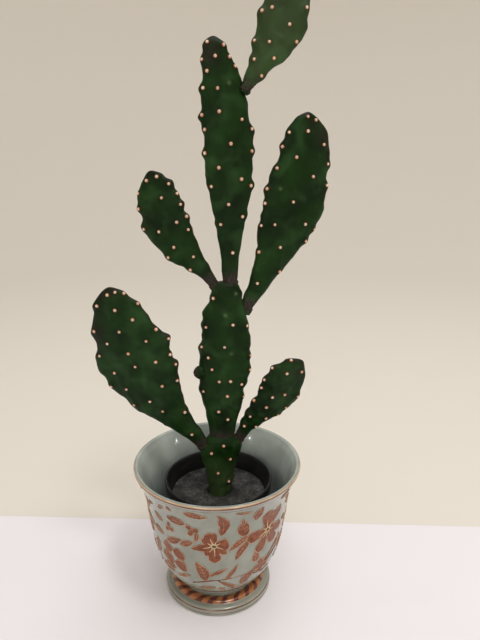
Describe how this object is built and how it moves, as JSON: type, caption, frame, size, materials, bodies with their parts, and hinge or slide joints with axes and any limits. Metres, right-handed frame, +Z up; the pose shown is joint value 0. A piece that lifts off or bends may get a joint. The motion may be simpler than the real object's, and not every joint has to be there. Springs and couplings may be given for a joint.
{
  "type": "potted cactus",
  "caption": "Branching prickly-pear cactus of flat dark-green jointed pads with pale dots, standing in a black plant pot inside a footed bell-shaped glazed cachepot with copper flowers.",
  "frame": {"origin": "centre of the cachepot's flat foot, on its axis, at the surface that it stands on", "axes": "+Z up along the cachepot's axis, +X to the viewer's right, -Y towards the viewer, so the pads spread along X"},
  "size_m": [0.2458, 0.1836, 0.6403],
  "materials": {
    "celadon_glaze": "glossy celadon-grey glaze with copper-brown flowers",
    "black_plastic": "moulded black plastic, satin",
    "dark_fill": "fine dark grit, matt",
    "cactus_skin": "satin dark-green skin, brown at necks and tips",
    "areole_dot": "matt pale peach dots with a rust-brown edge",
    "copper_lustre": "glossy copper-brown overglaze flowers, bands and lines"
  },
  "bodies": {
    "root": {"cachepot": "celadon_glaze", "nursery_pot": "black_plastic", "pot_fill": "dark_fill", "trunk": "cactus_skin", "pad_lower_left": "cactus_skin", "pad_lower_right": "cactus_skin", "pad_middle": "cactus_skin", "pad_mid_left": "cactus_skin", "pad_upper_right": "cactus_skin", "pad_upper": "cactus_skin", "pad_top": "cactus_skin"}
  },
  "joints": []
}
